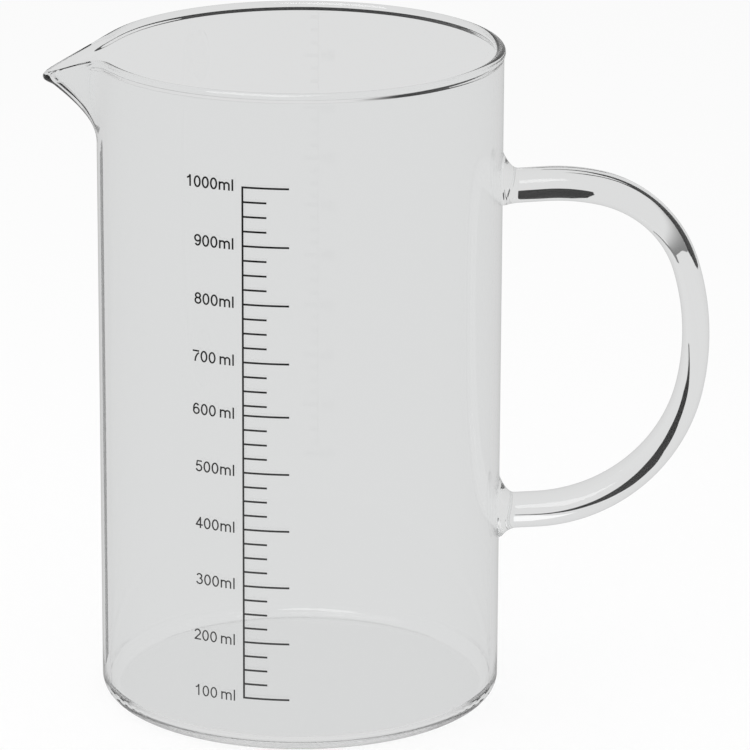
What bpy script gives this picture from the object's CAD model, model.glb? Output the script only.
"""Looks of the glass measuring jug: clear fused glass, a fired black scale and a pale, softly lit stage.

Cards behind the jug, which only its glass shows, give the handle and the rim their dark figures. The
outlines of the cards suit the camera's own angle.

Metres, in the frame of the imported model: Z up the jug's axis, spout to -X, handle to +X, scale to -Y.
"""
import math

import bmesh
import bpy
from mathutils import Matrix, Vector


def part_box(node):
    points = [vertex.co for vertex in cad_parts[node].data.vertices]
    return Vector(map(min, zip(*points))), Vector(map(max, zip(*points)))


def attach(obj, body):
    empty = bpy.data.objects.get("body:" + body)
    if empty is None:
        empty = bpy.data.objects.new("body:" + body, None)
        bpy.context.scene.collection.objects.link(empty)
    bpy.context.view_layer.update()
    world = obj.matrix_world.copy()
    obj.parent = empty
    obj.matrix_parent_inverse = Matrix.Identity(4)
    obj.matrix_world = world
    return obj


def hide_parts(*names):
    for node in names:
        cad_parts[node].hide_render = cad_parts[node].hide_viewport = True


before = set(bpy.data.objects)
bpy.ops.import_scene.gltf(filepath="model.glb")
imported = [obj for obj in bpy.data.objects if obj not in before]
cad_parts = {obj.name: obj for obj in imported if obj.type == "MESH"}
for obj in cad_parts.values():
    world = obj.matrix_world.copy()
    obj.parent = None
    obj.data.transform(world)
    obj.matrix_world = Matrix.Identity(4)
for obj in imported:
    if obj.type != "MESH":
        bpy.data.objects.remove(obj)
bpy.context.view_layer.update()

MM = 0.001

# Vessel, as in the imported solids
OUTER_RADIUS = 49.0 * MM
WALL = 1.65 * MM
FLOOR = 2.2 * MM
HEEL_RADIUS = 4.1 * MM
INNER_HEEL_RADIUS = 3.2 * MM
RIM_BEAD = 2.4 * MM
RIM_BEAD_LENGTH = 1.4 * MM
BODY_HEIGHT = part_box("jug_body")[1][2]
INNER_RADIUS = OUTER_RADIUS - WALL
MIDDLE_RADIUS = OUTER_RADIUS - WALL / 2

# Spout
SPOUT_REACH = 12.4 * MM
SPOUT_DROP = 5.9 * MM
SPOUT_DEPTH = 22.0 * MM
SPOUT_HALF_ANGLE = 28.0
LIP_HALF_ANGLE = 12.0
LIP_STRAIGHTNESS = 0.35
RIM_DIP = 0.4 * MM
RIM_DIP_HALF_ANGLE = 80.0
SPOUT_FOOT_HEIGHT = BODY_HEIGHT - RIM_BEAD / 2 - SPOUT_DEPTH

# Handle and the seals at its ends
HANDLE_HEIGHT = 128.15 * MM
HANDLE_RISE = 3.6
HANDLE_STANDOFF = 4.0 * MM
UPPER_RUN = 6.2 * MM
HANDLE_BENDS = [(48.2 * MM, 15.8), (28.7 * MM, 60.3), (61.0 * MM, 28.8), (40.0 * MM, 75.7)]
UPPER_THICKNESS = 8.15 * MM
MIDDLE_THICKNESS = 6.55 * MM
LOWER_THICKNESS = 8.4 * MM
END_WIDTH = 12.0 * MM
MIDDLE_WIDTH = 10.0 * MM
THINNEST_TURN = 82.0
UPPER_SEAL_RISE = 5.4 * MM
UPPER_SEAL_FALL = 0.5 * MM
LOWER_SEAL_RISE = 5.8 * MM
LOWER_SEAL_FALL = 2.4 * MM
SEAL_SIDE_FLARE = 1.5 * MM
SEAL_GAP = 0.015 * MM

# Printed scale
SPINE_ANGLE = -15.85
FIRST_MARK_HEIGHT = 13.8 * MM
MARK_PITCH = 3.54 * MM
SHORT_STEP = 2.44 * MM
MARKS_BELOW_SHORT_STEP = 21
MARKS_PER_LONG = 4
INK_THICKNESS = 0.1 * MM
FIRST_AMOUNT = 100
LAST_AMOUNT = 1000
AMOUNT_PER_LONG = 100

# Numerals, with strokes, heights and advances as shares of the em
LETTER_EM = 3.86 * MM
CAP_HEIGHT = 0.716
DIGIT_ADVANCE = 0.556
FOOT_STROKE = 0.078
TOP_STROKE = 0.106
NUMERAL_GAP = 2.0 * MM
NUMERAL_RISE = 0.33 * MM
SPACED_LABELS = (100, 200, 600, 700)

# Finish of the glass; haze and smear are roughness, and the vessel is sharper than the handle's bar
GLASS_TINT = (0.985, 0.99, 0.99, 1.0)
GLASS_SHADOW_TINT = (0.93, 0.94, 0.94, 1.0)
GLASS_IOR = 1.473
VESSEL_HAZE = 0.0
VESSEL_SMEAR = 0.003
BAR_HAZE = 0.03
BAR_SMEAR = 0.02

# Finish of the print, which is worn towards its foot
INK_TONE = 0.003
INK_WEAR = 0.05
INK_MOTTLE = 0.01
WORN_BELOW = 20.0 * MM
CRISP_ABOVE = 130.0 * MM

# Camera, found by matching the photograph's outline
CAMERA_ELEVATION = 16.99
CAMERA_DISTANCE = 1251.5 * MM
CAMERA_AIM_HEIGHT = 80.15 * MM
FOCAL_PIXELS = 5119.0
PHOTO_WIDTH = 750
JUG_AXIS_PIXEL = 300.0
SENSOR = 36.0

# Meshes
ROUND_STEPS = 288
BASE_RINGS = 6
HEEL_STEPS = 16
WALL_RINGS = 40
LIP_RINGS = 48
BEAD_STEPS = 16
BAR_STEPS = 64
BAR_SPACING = 1.2 * MM
BAR_END_STEPS = 6
SEAL_STEPS = 14
SEAL_CLOSING = (0.85, 0.6, 0.3, 0.1)
ARC_LEAST_STEPS = 6
ARC_STEP_DEGREES = 9
SHADE_STEPS = 72


class Value:
    """A number that a shader works out: wraps a socket, so that plain operators add Math nodes."""

    def __init__(self, tree, socket):
        self.tree = tree
        self.socket = socket

    def math(self, operation, *items):
        sockets = {f"i{slot}": item for slot, item in enumerate(items)}
        return add_node(self.tree, "Math", {"operation": operation}, **sockets)

    def __add__(self, other):
        return self.math("ADD", self, other)

    def __radd__(self, other):
        return self.math("ADD", other, self)

    def __sub__(self, other):
        return self.math("SUBTRACT", self, other)

    def __rsub__(self, other):
        return self.math("SUBTRACT", other, self)

    def __mul__(self, other):
        return self.math("MULTIPLY", self, other)

    def __rmul__(self, other):
        return self.math("MULTIPLY", other, self)

    def step(self, low, high):
        """0 below low, 1 above high and smooth between."""
        return add_node(self.tree, "MapRange", {"interpolation_type": "SMOOTHSTEP"}, "Result",
                        Value=self, From_Min=low, From_Max=high)


def plug(tree, slot, item):
    """Gives a socket a value, or links it to a node's output."""
    if isinstance(item, Value):
        item = item.socket
    if isinstance(item, bpy.types.NodeSocket):
        tree.links.new(item, slot)
    else:
        slot.default_value = item


def add_node(tree, kind, settings=None, out=0, **sockets):
    """Adds a node: its settings, then its sockets' values or links, by name or as i0, i1 and so on."""
    made = tree.nodes.new("ShaderNode" + kind)
    for name, value in (settings or {}).items():
        setattr(made, name, value)
    for name, value in sockets.items():
        key = int(name[1:]) if name[0] == "i" and name[1:].isdigit() else name.replace("_", " ")
        plug(tree, made.inputs[key], value)
    return Value(tree, made.outputs[out]) if made.outputs else None


class Shader:
    """The node tree of one material or world."""

    def __init__(self, owner):
        owner.use_nodes = True
        self.tree = owner.node_tree
        self.tree.nodes.clear()

    def node(self, kind, settings=None, out=0, **sockets):
        return add_node(self.tree, kind, settings, out, **sockets)


def solid(name, verts, faces, material, smooth=True):
    """Makes an object from a mesh whose faces all look outwards."""
    mesh = bpy.data.meshes.new(name)
    mesh.from_pydata(verts, [], faces)
    skin = bmesh.new()
    skin.from_mesh(mesh)
    bmesh.ops.recalc_face_normals(skin, faces=skin.faces)
    skin.to_mesh(mesh)
    skin.free()
    mesh.shade_smooth() if smooth else mesh.shade_flat()
    mesh.materials.append(material)
    made = bpy.data.objects.new(name, mesh)
    bpy.context.scene.collection.objects.link(made)
    return made


# Materials

def clear_glass(name, haze, smear):
    """Fire-polished borosilicate: faint drawn waviness, and lamps shine through it."""
    material = bpy.data.materials.new(name)
    s = Shader(material)
    place = s.node("TexCoord", out="Object")
    stretched = s.node("Mapping", Vector=place, Scale=(90.0, 90.0, 14.0))
    wave = s.node("TexNoise", Vector=stretched, Scale=1.0, Detail=1.0)
    bump = s.node("Bump", Height=wave, Strength=0.02, Distance=0.0004)
    smears = s.node("TexNoise", Vector=place, Scale=60.0, Detail=4.0)
    glass = s.node(
        "BsdfPrincipled",
        Base_Color=GLASS_TINT,
        Roughness=haze + smear * smears.step(0.55, 0.8),
        IOR=GLASS_IOR,
        Transmission_Weight=1.0,
        Normal=bump,
    )
    clear = s.node("BsdfTransparent", Color=GLASS_SHADOW_TINT)
    lamp_ray = s.node("LightPath", out="Is Shadow Ray")
    both = s.node("MixShader", i0=lamp_ray, i1=glass, i2=clear)
    s.node("OutputMaterial", Surface=both)
    return material


def black_enamel():
    """Fired print: almost black, softly mottled, a little greyer towards the foot of the scale."""
    material = bpy.data.materials.new("black_enamel")
    s = Shader(material)
    place = s.node("TexCoord", out="Object")
    height = s.node("SeparateXYZ", out="Z", Vector=place)
    mottle = s.node("TexNoise", Vector=place, Scale=1500.0, Detail=3.0)
    worn = 1.0 - height.step(WORN_BELOW, CRISP_ABOVE)
    tone = INK_TONE + INK_WEAR * worn + INK_MOTTLE * mottle
    ink = s.node("CombineColor", Red=tone, Green=tone, Blue=tone)
    bump = s.node("Bump", Height=mottle, Strength=0.2, Distance=0.00002)
    enamel = s.node("BsdfPrincipled", Base_Color=ink, Roughness=0.42 + 0.2 * mottle, IOR=1.5,
                    Specular_IOR_Level=0.2, Normal=bump)
    s.node("OutputMaterial", Surface=enamel)
    return material


# Vessel

def arc_points(centre_r, centre_z, radius, start, end, count):
    """Arc in the plane of a profile, as (radius, height) pairs."""
    points = []
    for step in range(count + 1):
        angle = math.radians(start + (end - start) * step / count)
        points.append((centre_r + radius * math.cos(angle), centre_z + radius * math.sin(angle)))
    return points


def lip_pull(angle):
    """Share of the spout's reach at an angle from the spout's middle."""
    if abs(angle) >= SPOUT_HALF_ANGLE:
        return 0.0
    peak = 1 / (1 + (angle / LIP_HALF_ANGLE) ** 2) ** 2
    return peak * math.cos(math.radians(90 * angle / SPOUT_HALF_ANGLE)) ** 2


def rim_dip(angle):
    """Fall of the rim at an angle from the spout's middle, before the spout's own drop."""
    if abs(angle) >= RIM_DIP_HALF_ANGLE:
        return 0.0
    return RIM_DIP * math.cos(math.radians(90 * angle / RIM_DIP_HALF_ANGLE)) ** 2


def rim_profile(angle):
    """Wall from the spout's foot over the rim bead and down inside, as (radius, height) pairs."""
    pull = lip_pull(angle)
    reach = SPOUT_REACH * pull
    rise = SPOUT_DEPTH - SPOUT_DROP * pull - rim_dip(angle)
    outside = []
    inside = []
    for step in range(1, LIP_RINGS + 1):
        share = 1 - (1 - step / LIP_RINGS) ** 2
        bulge = share ** 2 * (1 + LIP_STRAIGHTNESS * (1 - share))
        lean = share * (2 + LIP_STRAIGHTNESS * (2 - 3 * share))
        centre = Vector((MIDDLE_RADIUS + reach * bulge, SPOUT_FOOT_HEIGHT + rise * share))
        tangent = Vector((reach * lean, rise)).normalized()
        normal = Vector((tangent.y, -tangent.x))
        near_rim = min(1, max(0, 1 - rise * (1 - share) / RIM_BEAD_LENGTH))
        swell = near_rim ** 2 * (3 - 2 * near_rim)
        half = WALL / 2 + (RIM_BEAD - WALL) / 2 * swell
        outside.append(centre + normal * half)
        inside.append(centre - normal * half)
    bead = []
    for step in range(1, BEAD_STEPS):
        over = math.pi * step / BEAD_STEPS
        bead.append(centre + (normal * math.cos(over) + tangent * math.sin(over)) * (RIM_BEAD / 2))
    return [tuple(point) for point in outside + bead + inside[::-1]]


def vessel_profile(angle):
    """Whole skin at one angle, from the middle of the underside round to the middle of the floor."""
    heel_r = OUTER_RADIUS - HEEL_RADIUS
    inner_r = INNER_RADIUS - INNER_HEEL_RADIUS
    inner_low = FLOOR + INNER_HEEL_RADIUS
    under = [(heel_r * step / BASE_RINGS, 0.0) for step in range(1, BASE_RINGS)]
    heel = arc_points(heel_r, HEEL_RADIUS, HEEL_RADIUS, -90, 0, HEEL_STEPS)
    inner_heel = arc_points(inner_r, inner_low, INNER_HEEL_RADIUS, 0, -90, HEEL_STEPS)
    wall_rise = SPOUT_FOOT_HEIGHT - HEEL_RADIUS
    wall = [(OUTER_RADIUS, HEEL_RADIUS + wall_rise * step / WALL_RINGS)
            for step in range(1, WALL_RINGS + 1)]
    inner_rise = SPOUT_FOOT_HEIGHT - inner_low
    inner_wall = [(INNER_RADIUS, inner_low + inner_rise * step / WALL_RINGS)
                  for step in range(WALL_RINGS, 0, -1)]
    floor = [(inner_r * step / BASE_RINGS, FLOOR) for step in range(BASE_RINGS - 1, 0, -1)]
    return under + heel + wall + rim_profile(angle) + inner_wall + inner_heel + floor


def vessel(material):
    """One closed skin of revolution whose rim is drawn out into the spout."""
    verts = []
    for step in range(ROUND_STEPS):
        turn = 360 * step / ROUND_STEPS
        from_spout = (turn + 180) % 360 - 180
        azimuth = math.radians(turn + 180)
        for radius, height in vessel_profile(from_spout):
            verts.append((radius * math.cos(azimuth), radius * math.sin(azimuth), height))
    ring = len(verts) // ROUND_STEPS
    faces = []
    for step in range(ROUND_STEPS):
        here = step * ring
        there = (step + 1) % ROUND_STEPS * ring
        for row in range(ring - 1):
            faces.append((here + row, there + row, there + row + 1, here + row + 1))
    under, top = len(verts), len(verts) + 1
    verts += [(0, 0, 0), (0, 0, FLOOR)]
    for step in range(ROUND_STEPS):
        here = step * ring
        there = (step + 1) % ROUND_STEPS * ring
        faces.append((under, there, here))
        faces.append((top, here + ring - 1, there + ring - 1))
    return solid("jug_body_glass", verts, faces, material)


# Handle

def heading_vector(degrees):
    """Direction in the handle's plane, from level towards +X and up."""
    return Vector((math.cos(math.radians(degrees)), 0, math.sin(math.radians(degrees))))


def handle_path(spacing):
    """Places along the handle as (point, heading), from its upper end to its lower end."""
    end_x = OUTER_RADIUS + HANDLE_STANDOFF
    point = Vector((end_x, 0, HANDLE_HEIGHT))
    heading = HANDLE_RISE
    places = []
    for step in range(BAR_END_STEPS):
        places.append((point + heading_vector(heading) * (UPPER_RUN * step / BAR_END_STEPS), heading))
    point = point + heading_vector(heading) * UPPER_RUN
    for radius, turn in HANDLE_BENDS:
        centre = point + heading_vector(heading - 90) * radius
        count = round(math.radians(turn) * radius / spacing)
        for step in range(count):
            now = heading - turn * step / count
            places.append((centre - heading_vector(now - 90) * radius, now))
        heading -= turn
        point = centre - heading_vector(heading - 90) * radius
    run = (point.x - end_x) / -heading_vector(heading).x
    for step in range(BAR_END_STEPS + 1):
        places.append((point + heading_vector(heading) * (run * step / BAR_END_STEPS), heading))
    return places


def bar_sizes(turn, whole_turn):
    """Thickness and width of the bar's oval after a given turn from its upper end."""
    if turn < THINNEST_TURN:
        end_thickness = UPPER_THICKNESS
        away = 1 - turn / THINNEST_TURN
    else:
        end_thickness = LOWER_THICKNESS
        away = (turn - THINNEST_TURN) / (whole_turn - THINNEST_TURN)
    swell = math.sin(math.radians(90 * away)) ** 2
    return (MIDDLE_THICKNESS + (end_thickness - MIDDLE_THICKNESS) * swell,
            MIDDLE_WIDTH + (END_WIDTH - MIDDLE_WIDTH) * swell)


def oval(centre, heading, thickness, width):
    """Ring of points across the bar."""
    along = heading_vector(heading)
    outward = Vector((-along.z, 0, along.x))
    ring = []
    for step in range(BAR_STEPS):
        angle = 2 * math.pi * step / BAR_STEPS
        ring.append(centre + outward * (thickness / 2 * math.cos(angle))
                    + Vector((0, width / 2 * math.sin(angle), 0)))
    return ring


def onto_wall(point):
    """The point moved along X until it lies on the outside of the wall."""
    radius = OUTER_RADIUS + SEAL_GAP
    return Vector((math.sqrt(radius ** 2 - point.y ** 2), point.y, point.z))


def seal_rings(point, heading, thickness, rise, fall):
    """Rings of the gather, from the bar's end to the wall, then closing over the wall."""
    slope = math.tan(math.radians(heading))
    rings = []
    for step in range(1, SEAL_STEPS + 1):
        share = step / SEAL_STEPS
        flare = share ** 2
        travel = -HANDLE_STANDOFF * share
        centre = point + Vector((travel, 0, slope * travel + (rise - fall) / 2 * flare))
        ring = oval(centre, heading, thickness + (rise + fall) * flare,
                    END_WIDTH + 2 * SEAL_SIDE_FLARE * flare)
        rings.append([Vector((max(spot.x, onto_wall(spot).x), spot.y, spot.z)) for spot in ring])
    foot = [onto_wall(spot) for spot in rings[-1]]
    rings[-1] = foot
    middle = sum(foot, Vector()) / len(foot)
    for shrink in SEAL_CLOSING:
        rings.append([onto_wall(middle + (spot - middle) * shrink) for spot in foot])
    return rings, onto_wall(middle)


def handle(material):
    """Bar and both seals as one closed skin that sits on the wall."""
    places = handle_path(BAR_SPACING)
    whole_turn = places[0][1] - places[-1][1]
    bar = []
    for point, heading in places:
        thickness, width = bar_sizes(places[0][1] - heading, whole_turn)
        bar.append(oval(point, heading, thickness, width))
    upper, upper_tip = seal_rings(*places[0], UPPER_THICKNESS, UPPER_SEAL_RISE, UPPER_SEAL_FALL)
    lower, lower_tip = seal_rings(*places[-1], LOWER_THICKNESS, LOWER_SEAL_RISE, LOWER_SEAL_FALL)
    rings = upper[::-1] + bar + lower
    verts = [tuple(spot) for ring in rings for spot in ring]
    faces = []
    for row in range(len(rings) - 1):
        for step in range(BAR_STEPS):
            a = row * BAR_STEPS + step
            b = row * BAR_STEPS + (step + 1) % BAR_STEPS
            faces.append((a, b, b + BAR_STEPS, a + BAR_STEPS))
    for tip, row in ((upper_tip, 0), (lower_tip, len(rings) - 1)):
        verts.append(tuple(tip))
        for step in range(BAR_STEPS):
            a = row * BAR_STEPS + step
            b = row * BAR_STEPS + (step + 1) % BAR_STEPS
            faces.append((len(verts) - 1, b, a) if row == 0 else (len(verts) - 1, a, b))
    return solid("handle_glass", verts, faces, material)


# Numerals

def stroke_line(x0, y0, x1, y1):
    return [(x0, y0), (x1, y1)]


def stroke_arc(x, y, rx, ry, start, end):
    count = max(ARC_LEAST_STEPS, round(abs(end - start) / ARC_STEP_DEGREES))
    angles = [math.radians(start + (end - start) * step / count) for step in range(count + 1)]
    return [(x + rx * math.cos(angle), y + ry * math.sin(angle)) for angle in angles]


def turned_about(strokes, x, y):
    """The strokes after half a turn about a point."""
    return [[(2 * x - px, 2 * y - py) for px, py in stroke] for stroke in strokes]


SIX = [stroke_arc(0.283, 0.345, 0.193, 0.323, 42, 190), stroke_arc(0.278, 0.226, 0.188, 0.188, 0, 360)]
# Each sign as its advance and its strokes
GLYPHS = {
    "0": (DIGIT_ADVANCE, [stroke_arc(0.276, 0.352, 0.186, 0.317, 0, 360)]),
    "1": (DIGIT_ADVANCE, [stroke_line(0.329, 0, 0.329, CAP_HEIGHT),
                          stroke_arc(0.09, 0.74, 0.235, 0.215, -5, -85)]),
    "2": (DIGIT_ADVANCE, [stroke_arc(0.275, 0.495, 0.182, 0.176, 170, -38) + [(0.078, 0.046)],
                          stroke_line(0.05, 0.046, 0.503, 0.046)]),
    "3": (DIGIT_ADVANCE, [stroke_arc(0.262, 0.528, 0.163, 0.142, 165, -80),
                          stroke_arc(0.262, 0.212, 0.196, 0.178, 85, -165)]),
    "4": (DIGIT_ADVANCE, [stroke_line(0.357, 0, 0.357, CAP_HEIGHT), [(0.357, 0.67), (0.07, 0.216)],
                          stroke_line(0.03, 0.208, 0.52, 0.208)]),
    "5": (DIGIT_ADVANCE, [[(0.475, 0.668), (0.165, 0.668), (0.11, 0.36)],
                          stroke_arc(0.268, 0.232, 0.193, 0.197, 145, -160)]),
    "6": (DIGIT_ADVANCE, SIX),
    "7": (DIGIT_ADVANCE, [[(0.05, 0.66), (0.49, 0.66)], stroke_arc(0.76, 0.0, 0.545, 0.64, 121, 180)]),
    "8": (DIGIT_ADVANCE, [stroke_arc(0.276, 0.528, 0.162, 0.142, 0, 360),
                          stroke_arc(0.276, 0.21, 0.19, 0.176, 0, 360)]),
    "9": (DIGIT_ADVANCE, turned_about(SIX, 0.278, 0.352)),
    "m": (0.833, [stroke_line(0.112, 0, 0.112, 0.519),
                  stroke_arc(0.265, 0.33, 0.153, 0.143, 180, 0) + [(0.418, 0)],
                  stroke_arc(0.57, 0.33, 0.152, 0.143, 180, 0) + [(0.722, 0)]]),
    "l": (0.222, [stroke_line(0.111, 0, 0.111, CAP_HEIGHT)]),
    " ": (0.16, []),
}


def mark_height(index):
    """Height of a mark, counted from the lowest."""
    height = FIRST_MARK_HEIGHT + MARK_PITCH * index
    if index >= MARKS_BELOW_SHORT_STEP:
        height -= MARK_PITCH - SHORT_STEP
    return height


def on_cylinder(across, height, radius):
    """A point of the print: across is measured along the wall from the front, to the right."""
    angle = across / OUTER_RADIUS
    return (radius * math.sin(angle), -radius * math.cos(angle), height)


def film(points, width, verts, faces):
    """Adds a flat stroke of the print, bent round the wall, as a closed film."""
    first = len(verts)
    low = OUTER_RADIUS
    high = OUTER_RADIUS + INK_THICKNESS
    for step, point in enumerate(points):
        before = Vector(points[max(step - 1, 0)])
        after = Vector(points[min(step + 1, len(points) - 1)])
        along = (after - before).normalized()
        side = Vector((-along.y, along.x)) * (width / 2)
        for edge in (1, -1):
            spot = Vector(point) + side * edge
            verts.append(on_cylinder(spot.x, spot.y, low))
            verts.append(on_cylinder(spot.x, spot.y, high))
    for step in range(len(points) - 1):
        a = first + 4 * step
        b = a + 4
        faces.extend([(a + 1, a + 3, b + 3, b + 1), (a, b, b + 2, a + 2),
                      (a, a + 1, b + 1, b), (a + 2, b + 2, b + 3, a + 3)])
    last = first + 4 * (len(points) - 1)
    faces.extend([(first, first + 2, first + 3, first + 1), (last, last + 1, last + 3, last + 2)])


def numerals(material):
    """Plain millilitre numbers that end left of the spine, a little above their marks, bolder at the top."""
    verts = []
    faces = []
    right = math.radians(SPINE_ANGLE) * OUTER_RADIUS - NUMERAL_GAP
    for row, amount in enumerate(range(FIRST_AMOUNT, LAST_AMOUNT + 1, AMOUNT_PER_LONG)):
        words = f"{amount} ml" if amount in SPACED_LABELS else f"{amount}ml"
        pen = right - sum(GLYPHS[letter][0] for letter in words) * LETTER_EM
        base = mark_height(row * MARKS_PER_LONG) - CAP_HEIGHT / 2 * LETTER_EM + NUMERAL_RISE
        share = (amount - FIRST_AMOUNT) / (LAST_AMOUNT - FIRST_AMOUNT)
        width = (FOOT_STROKE + (TOP_STROKE - FOOT_STROKE) * share) * LETTER_EM
        for letter in words:
            advance, strokes = GLYPHS[letter]
            for stroke in strokes:
                placed = [(pen + x * LETTER_EM, base + y * LETTER_EM) for x, y in stroke]
                film(placed, width, verts, faces)
            pen += advance * LETTER_EM
    return solid("scale_numerals", verts, faces, material, smooth=False)


# Stage

# Brightness of the room as seen through glass, in mirror reflections and by the camera, and of the cards
PALE = 0.735
ROOM = 0.5
WHITE = 1.0
DARK = 0.005
GREY = 0.18
SOFT = 0.2

# Paper that the jug stands on, and the part of it under the base
SWEEP_HALF = 4.0
SWEEP_DROP = 0.2 * MM
PAPER_TONE = 0.92
PAPER_SHARE = 0.2
SHADE_RADIUS = 45.0 * MM
SHADE_DROP = 0.1 * MM
SHADE = 0.69

LAMP_PLACE = (-0.3, -0.4, 1.1)
LAMP_AIM = (0, 0, 0.05)
LAMP_SIZE = 0.8
LAMP_POWER = 6.0
LIGHT_BOUNCES = 48

# Cards that only the glass shows: (across, up) outlines and distances behind the jug's axis, in millimetres
NEAR = 60.0
JUST_BEHIND_NEAR = 60.5
FAR = 150.0
ARM_CARD = [(46, 140), (87, 138), (90, 150), (89, 168), (80, 180), (60, 182), (46, 174)]
SHOULDER_CARD = [(64, 76.8), (70, 79), (77, 81.8), (82, 84.6), (86, 88.2), (87, 89.6), (84, 92), (80, 93),
                 (76.5, 91.6), (70, 94.6), (66.5, 93), (72, 91), (73, 89.4), (69, 83.5), (64, 78.2)]
SOFT_CARD = [(77, 92), (79, 97), (84, 101.5), (90, 103.5), (96, 107), (101, 111), (106, 114), (109, 108),
             (108, 102.2), (103, 99.8), (97, 96.5), (90, 91.2), (87, 89.6), (84, 92), (80, 93)]
SOFT_FADE = ((94, 94.1), (88.4, 103))
INNER_CARD = [(107.5, 98), (110, 100), (112, 112), (111.4, 124), (109.6, 124), (109.6, 112), (106.5, 101)]
GRIP_CARD = [(112.5, 70), (106, 64.5), (103, 61), (102, 57), (99, 54.5), (95.5, 52), (92, 49.5), (86, 47.8),
             (80, 46.8), (68, 46.6), (62, 45.4), (52, 43.6), (52, 44.6), (58, 46), (62, 48), (64.5, 52),
             (66, 57), (69, 57.2), (74, 55.6), (84, 55.8), (88, 57.2), (96, 61.4), (106, 67), (111, 71)]
STRIP_CARD = [(46, 47), (60, 48.5), (62, 56), (58, 59.5), (46, 58)]
EDGE_CARD = [(-128, -54), (-102, -54), (-102, 95), (-128, 95)]
RIM_CARD = [(10, 194), (16.5, 186), (24, 174), (40, 166), (54, 164), (54, 210), (40, 210), (16.5, 202),
            (10, 200)]
RIM_FADE = ((27, 190), (12, 190))
RIM_STRIP = [(-62, 161.2), (0, 161), (62, 161.2), (62, 167), (40, 166), (0, 163.8), (-40, 166), (-62, 167)]

# How light reaches a card: how often it has turned in glass, and whether that is the handle's hazier glass
IN_BAR = (2, True)
IN_BEAD = (2, False)
IN_WALL_EDGE = (3, False)

# Name, outline, place, brightness, way of the light, and the two points between which it fades into the room
CARDS = (
    ("arm_card", ARM_CARD, FAR, DARK, IN_BAR, None),
    ("shoulder_card", SHOULDER_CARD, NEAR, DARK, IN_BAR, None),
    ("soft_card", SOFT_CARD, JUST_BEHIND_NEAR, SOFT, IN_BAR, SOFT_FADE),
    ("inner_card", INNER_CARD, NEAR, GREY, IN_BAR, None),
    ("grip_card", GRIP_CARD, NEAR, DARK, IN_BAR, None),
    ("strip_card", STRIP_CARD, NEAR, WHITE, IN_BAR, None),
    ("edge_card", EDGE_CARD, FAR, DARK, IN_WALL_EDGE, None),
    ("rim_card", RIM_CARD, FAR, DARK, IN_BEAD, RIM_FADE),
    ("rim_strip", RIM_STRIP, NEAR, DARK, IN_BEAD, None),
)


def studio_world():
    """A pale tent, white to the camera and a little darker in the glass."""
    world = bpy.data.worlds.new("studio")
    bpy.context.scene.world = world
    s = Shader(world)
    seen = s.node("LightPath", out="Is Camera Ray")
    through = s.node("LightPath", out="Is Transmission Ray")
    mirrored = s.node("LightPath", out="Is Glossy Ray") * (1 - through)
    level = (PALE - (PALE - ROOM) * mirrored) * (1 - seen) + WHITE * seen
    tone = s.node("CombineColor", Red=level, Green=level, Blue=level)
    glow = s.node("Background", Color=tone, Strength=1.0)
    s.node("OutputWorld", Surface=glow)


def paper_floor():
    """Pale sweep that the jug stands on: white to the camera, with a soft shadow."""
    material = bpy.data.materials.new("paper_sweep")
    s = Shader(material)
    glow = s.node("Emission", Color=(WHITE, WHITE, WHITE, 1.0), Strength=1.0)
    paper = s.node("BsdfDiffuse", Color=(PAPER_TONE, PAPER_TONE, PAPER_TONE, 1.0))
    both = s.node("MixShader", i0=PAPER_SHARE, i1=glow, i2=paper)
    s.node("OutputMaterial", Surface=both)
    corners = [(x * SWEEP_HALF, y * SWEEP_HALF, 0) for x, y in ((-1, -1), (1, -1), (1, 1), (-1, 1))]
    floor = solid("floor", corners, [(0, 1, 2, 3)], material, smooth=False)
    floor.location.z = -SWEEP_DROP
    only_for(floor, camera=True)


def only_for(piece, camera=False, glass=False):
    """Limits which rays meet a piece of the stage."""
    piece.visible_camera = camera
    piece.visible_diffuse = False
    piece.visible_shadow = False
    piece.visible_glossy = False
    piece.visible_transmission = glass


def glow_piece(name, corners, level, way=None, fade=None):
    """A flat stage piece that glows and that only glass shows: any glass, or the glass that way gives."""
    material = bpy.data.materials.new(name)
    s = Shader(material)
    colour = (level, level, level, 1.0)
    if fade:
        (x0, z0), (x1, z1) = fade
        run = ((x1 - x0) ** 2 + (z1 - z0) ** 2) * MM
        place = s.node("TexCoord", out="Object")
        across = s.node("SeparateXYZ", out="X", Vector=place)
        up = s.node("SeparateXYZ", out="Z", Vector=place)
        along = (across - x0 * MM) * ((x1 - x0) / run) + (up - z0 * MM) * ((z1 - z0) / run)
        colour = level + (PALE - level) * along.step(0.0, 1.0)
    glow = s.node("Emission", Color=colour, Strength=1.0)
    if way:
        turns, in_bar = way
        turned = s.node("LightPath", out="Ray Depth")
        sharp = s.node("LightPath", out="Is Singular Ray")
        shown = turned.math("COMPARE", turned, turns, 0.5) * (1 - sharp if in_bar else sharp)
        clear = s.node("BsdfTransparent")
        glow = s.node("MixShader", i0=shown, i1=clear, i2=glow)
    s.node("OutputMaterial", Surface=glow)
    made = solid(name, corners, [tuple(range(len(corners)))], material, smooth=False)
    only_for(made, glass=True)


def card(name, outline, behind, level, way, fade):
    """Upright card behind the jug."""
    corners = [(x * MM, behind * MM, z * MM) for x, z in outline]
    glow_piece(name, corners, level, way, fade)


def base_shade():
    """The paper under the base, a little darker than the rest."""
    angles = [2 * math.pi * step / SHADE_STEPS for step in range(SHADE_STEPS)]
    corners = [(SHADE_RADIUS * math.cos(angle), SHADE_RADIUS * math.sin(angle), -SHADE_DROP)
               for angle in angles]
    glow_piece("base_shade", corners, SHADE)


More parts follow.
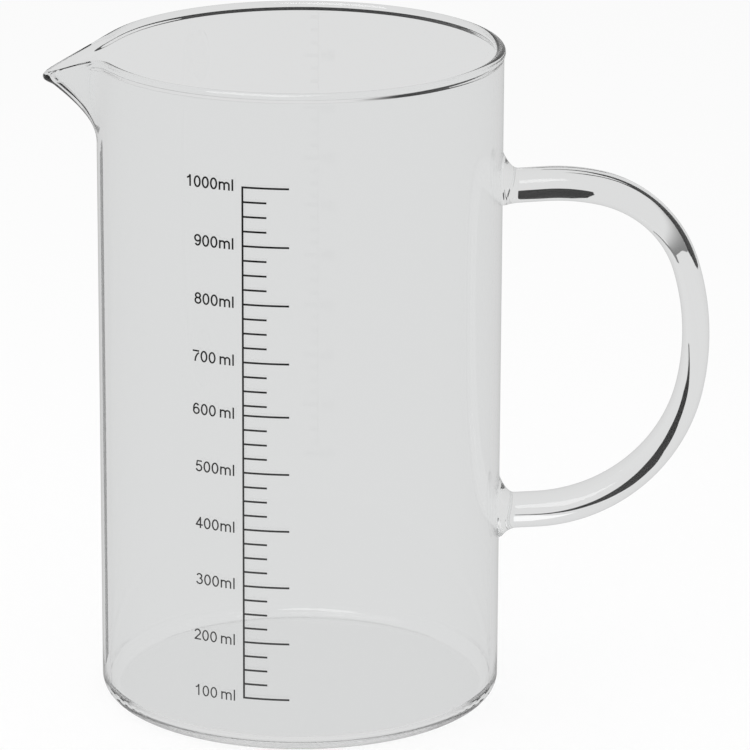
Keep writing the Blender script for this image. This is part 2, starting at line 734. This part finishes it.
def overhead_lamp():
    """Large soft lamp above the front left, which shines on the glass but isn't seen through it."""
    data = bpy.data.lights.new("overhead_lamp", "AREA")
    data.shape = "RECTANGLE"
    data.size = data.size_y = LAMP_SIZE
    data.energy = LAMP_POWER
    lamp = bpy.data.objects.new("overhead_lamp", data)
    bpy.context.scene.collection.objects.link(lamp)
    lamp.location = LAMP_PLACE
    lamp.rotation_euler = (Vector(LAMP_AIM) - Vector(LAMP_PLACE)).to_track_quat("-Z", "Y").to_euler()
    lamp.visible_camera = False
    lamp.visible_transmission = False


def camera():
    """At the photograph's viewing angle and frame."""
    data = bpy.data.cameras.new("camera")
    data.sensor_width = SENSOR
    data.lens = FOCAL_PIXELS / PHOTO_WIDTH * SENSOR
    data.shift_x = 0.5 - JUG_AXIS_PIXEL / PHOTO_WIDTH
    made = bpy.data.objects.new("camera", data)
    bpy.context.scene.collection.objects.link(made)
    tilt = math.radians(CAMERA_ELEVATION)
    made.location = (0, -CAMERA_DISTANCE * math.cos(tilt),
                     CAMERA_AIM_HEIGHT + CAMERA_DISTANCE * math.sin(tilt))
    made.rotation_euler = (math.pi / 2 - tilt, 0, 0)
    bpy.context.scene.camera = made


def dress():
    """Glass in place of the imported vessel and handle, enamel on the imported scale, and the numerals."""
    enamel = black_enamel()
    body = vessel(clear_glass("vessel_glass", VESSEL_HAZE, VESSEL_SMEAR))
    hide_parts("jug_body")
    bar = handle(clear_glass("drawn_bar_glass", BAR_HAZE, BAR_SMEAR))
    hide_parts("handle", "upper_handle_seal", "lower_handle_seal")
    print_piece = numerals(enamel)
    for piece, finish in ((body, "glass"), (bar, "glass"), (print_piece, "enamel")):
        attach(piece, "root")
    for node in ("scale_spine", "scale_long_marks", "scale_short_marks"):
        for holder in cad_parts[node].material_slots:
            holder.material = enamel


dress()
studio_world()
paper_floor()
for row in CARDS:
    card(*row)
base_shade()
overhead_lamp()
camera()
bpy.context.scene.view_settings.view_transform = "Standard"
bpy.context.scene.cycles.max_bounces = LIGHT_BOUNCES
bpy.context.scene.cycles.transmission_bounces = LIGHT_BOUNCES
bpy.context.scene.cycles.glossy_bounces = LIGHT_BOUNCES
